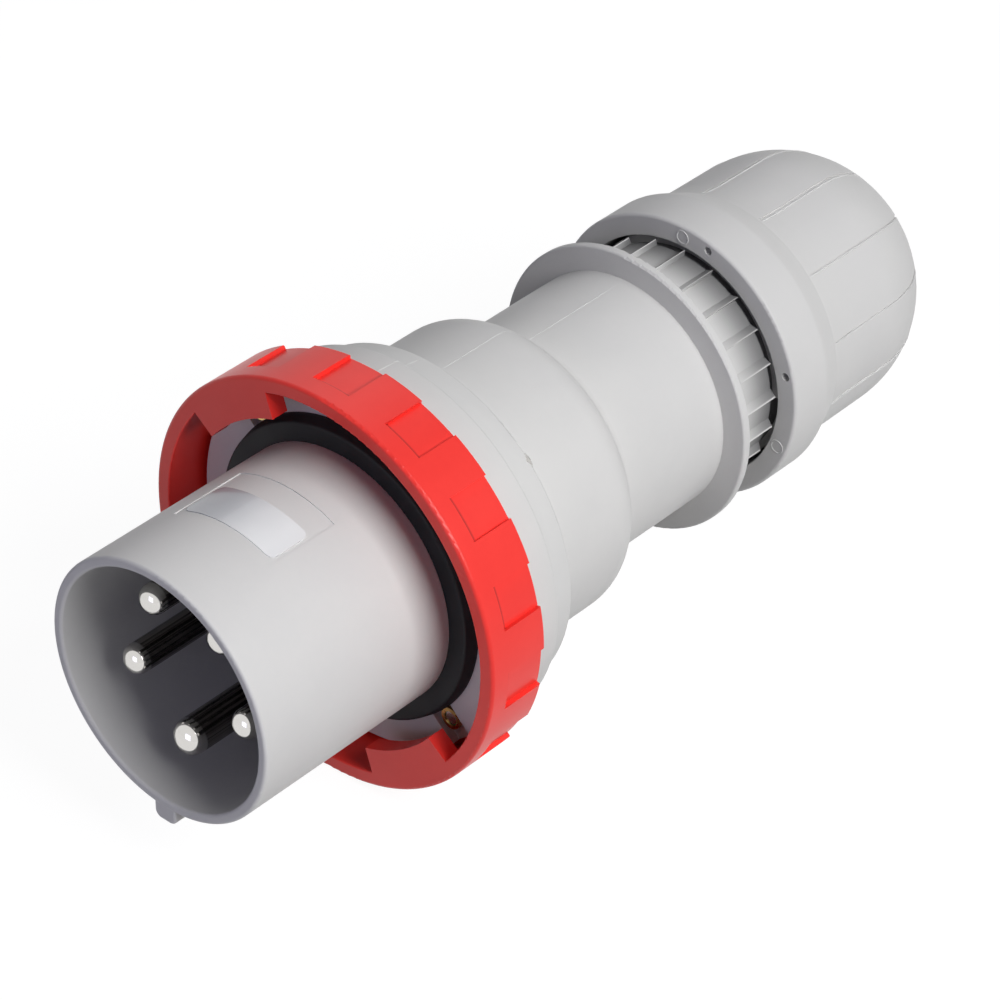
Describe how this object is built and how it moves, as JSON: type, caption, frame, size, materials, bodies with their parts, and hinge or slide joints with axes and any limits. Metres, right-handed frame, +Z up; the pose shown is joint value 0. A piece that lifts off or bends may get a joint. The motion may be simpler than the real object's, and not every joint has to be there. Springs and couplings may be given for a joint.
{
  "type": "industrial pin and sleeve plug",
  "caption": "Sealed industrial power plug with round contact pins in a keyed shroud, a bayonet coupling ring and a screwed cable gland with a domed nut.",
  "frame": {"origin": "on the plug's axis, in the plane of the face gasket's front, where the socket's rim seats", "axes": "+Y along the plug's axis from the mouth to the cable entry, +Z up through the rating label, opposite the earth pin and key"},
  "size_m": [0.1426, 0.3326, 0.1426],
  "materials": {
    "grey_plastic": "satin moulded",
    "insert_plastic": "matte moulded",
    "red_plastic": "satin moulded",
    "rubber": "matte",
    "nickel": "nickel plated, bright",
    "steel": "zinc plated",
    "brass": "turned",
    "label_film": "satin film"
  },
  "bodies": {
    "plug_body": {"front_shroud": "grey_plastic", "contact_carrier": "insert_plastic", "pin_retainer": "insert_plastic", "pin_earth": "nickel", "pin_l1": "nickel", "pin_l2": "nickel", "pin_l3": "nickel", "pin_neutral": "nickel", "terminal_screws": "steel", "carrier_screws": "steel", "face_gasket": "rubber", "flange_o_ring": "rubber", "brass_inserts": "brass", "flange_screws": "steel", "housing": "grey_plastic", "gland_seal": "rubber", "clamp_cage": "insert_plastic", "rating_label": "label_film"},
    "ring": {"coupling_ring": "red_plastic"},
    "slip_washer": {"slip_ring": "insert_plastic"},
    "nut": {"gland_nut": "grey_plastic"}
  },
  "joints": [
    {"name": "ring_turn", "type": "hinge", "parent": "plug_body", "child": "ring", "pos_m": [0, 0, 0], "axis": [0, 1, 0], "range_deg": [-42, 8]},
    {"name": "gland_travel", "type": "slide", "parent": "plug_body", "child": "slip_washer", "axis": [0, 1, 0], "range_m": [-0.006, 0.008]},
    {"name": "nut_turn", "type": "hinge", "parent": "slip_washer", "child": "nut", "pos_m": [0, 0.16, 0], "axis": [0, 1, 0], "range_deg": [-540, 720]}
  ],
  "couplings": [
    {"joint": "gland_travel", "follows": "nut_turn", "m_per_rad": 0.0006366}
  ]
}
